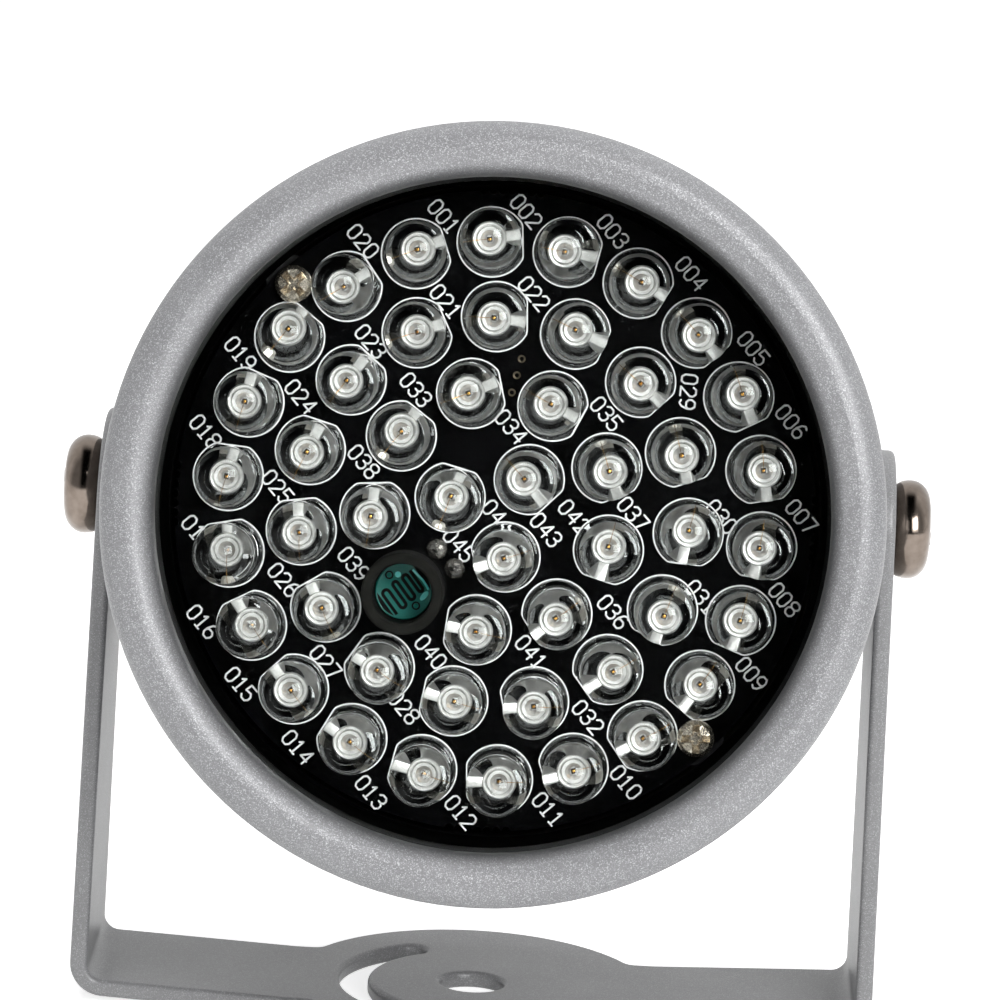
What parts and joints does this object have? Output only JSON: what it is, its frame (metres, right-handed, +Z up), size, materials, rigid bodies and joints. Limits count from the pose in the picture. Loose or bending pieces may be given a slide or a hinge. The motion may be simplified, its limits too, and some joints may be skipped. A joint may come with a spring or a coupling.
{
  "type": "infrared illuminator",
  "caption": "Round infrared lamp head behind flat glass, rings of dome lamps and a light sensor on a black board, tilting on side screws in a U bracket with a round base disc.",
  "frame": {"origin": "centre of the base disc's hole, on the disc's underside", "axes": "+Z up through the hole, -Y where the lamp faces when level, +X along the tilt axis"},
  "size_m": [0.0746, 0.0568, 0.0802],
  "materials": {
    "bracket_paint": "satin silver-grey metallic paint on bent steel sheet",
    "housing_paint": "silver-grey metallic paint on a die casting",
    "bezel_paint": "silver-grey metallic paint with fine sparkle",
    "clear_glass": "clear polished flat glass",
    "black_rubber": "matt black",
    "black_laminate": "gloss black solder mask on glass fibre laminate",
    "clear_epoxy": "water-clear cast epoxy",
    "solder": "bright solder",
    "cell_ceramic": "teal cell under clear lacquer",
    "sleeve_plastic": "matt black",
    "nickel_plate": "bright nickel plating",
    "moulded_black": "matt black moulding",
    "chip_resistor": "glazed chip with tinned ends",
    "white_nylon": "natural white nylon",
    "capacitor_sleeve": "aluminium can in a dark film sleeve"
  },
  "bodies": {
    "bracket": {"bracket": "bracket_paint"},
    "head": {"housing": "housing_paint", "bezel": "bezel_paint", "front_glass": "clear_glass", "front_gasket": "black_rubber", "glass_seat_seal": "black_rubber", "neck_seal": "black_rubber", "led_board": "black_laminate", "infrared_leds_outer_ring": "clear_epoxy", "infrared_leds_second_ring": "clear_epoxy", "infrared_leds_third_ring": "clear_epoxy", "infrared_leds_inner_ring": "clear_epoxy", "led_solder_joints": "solder", "photocell": "cell_ceramic", "photocell_sleeve": "sleeve_plastic", "photocell_solder_joints": "solder", "board_screws": "nickel_plate", "pivot_screw_left": "nickel_plate", "pivot_screw_right": "nickel_plate", "cable_grommet": "black_rubber", "light_switch_transistor": "moulded_black", "control_chip": "moulded_black", "supply_terminal": "white_nylon", "string_resistors": "chip_resistor", "smoothing_capacitor": "capacitor_sleeve"}
  },
  "joints": [
    {"name": "head_tilt", "type": "hinge", "parent": "bracket", "child": "head", "pos_m": [0, 0, 0.0442], "axis": [1, 0, 0], "range_deg": [-79.8, 100.2]}
  ]
}
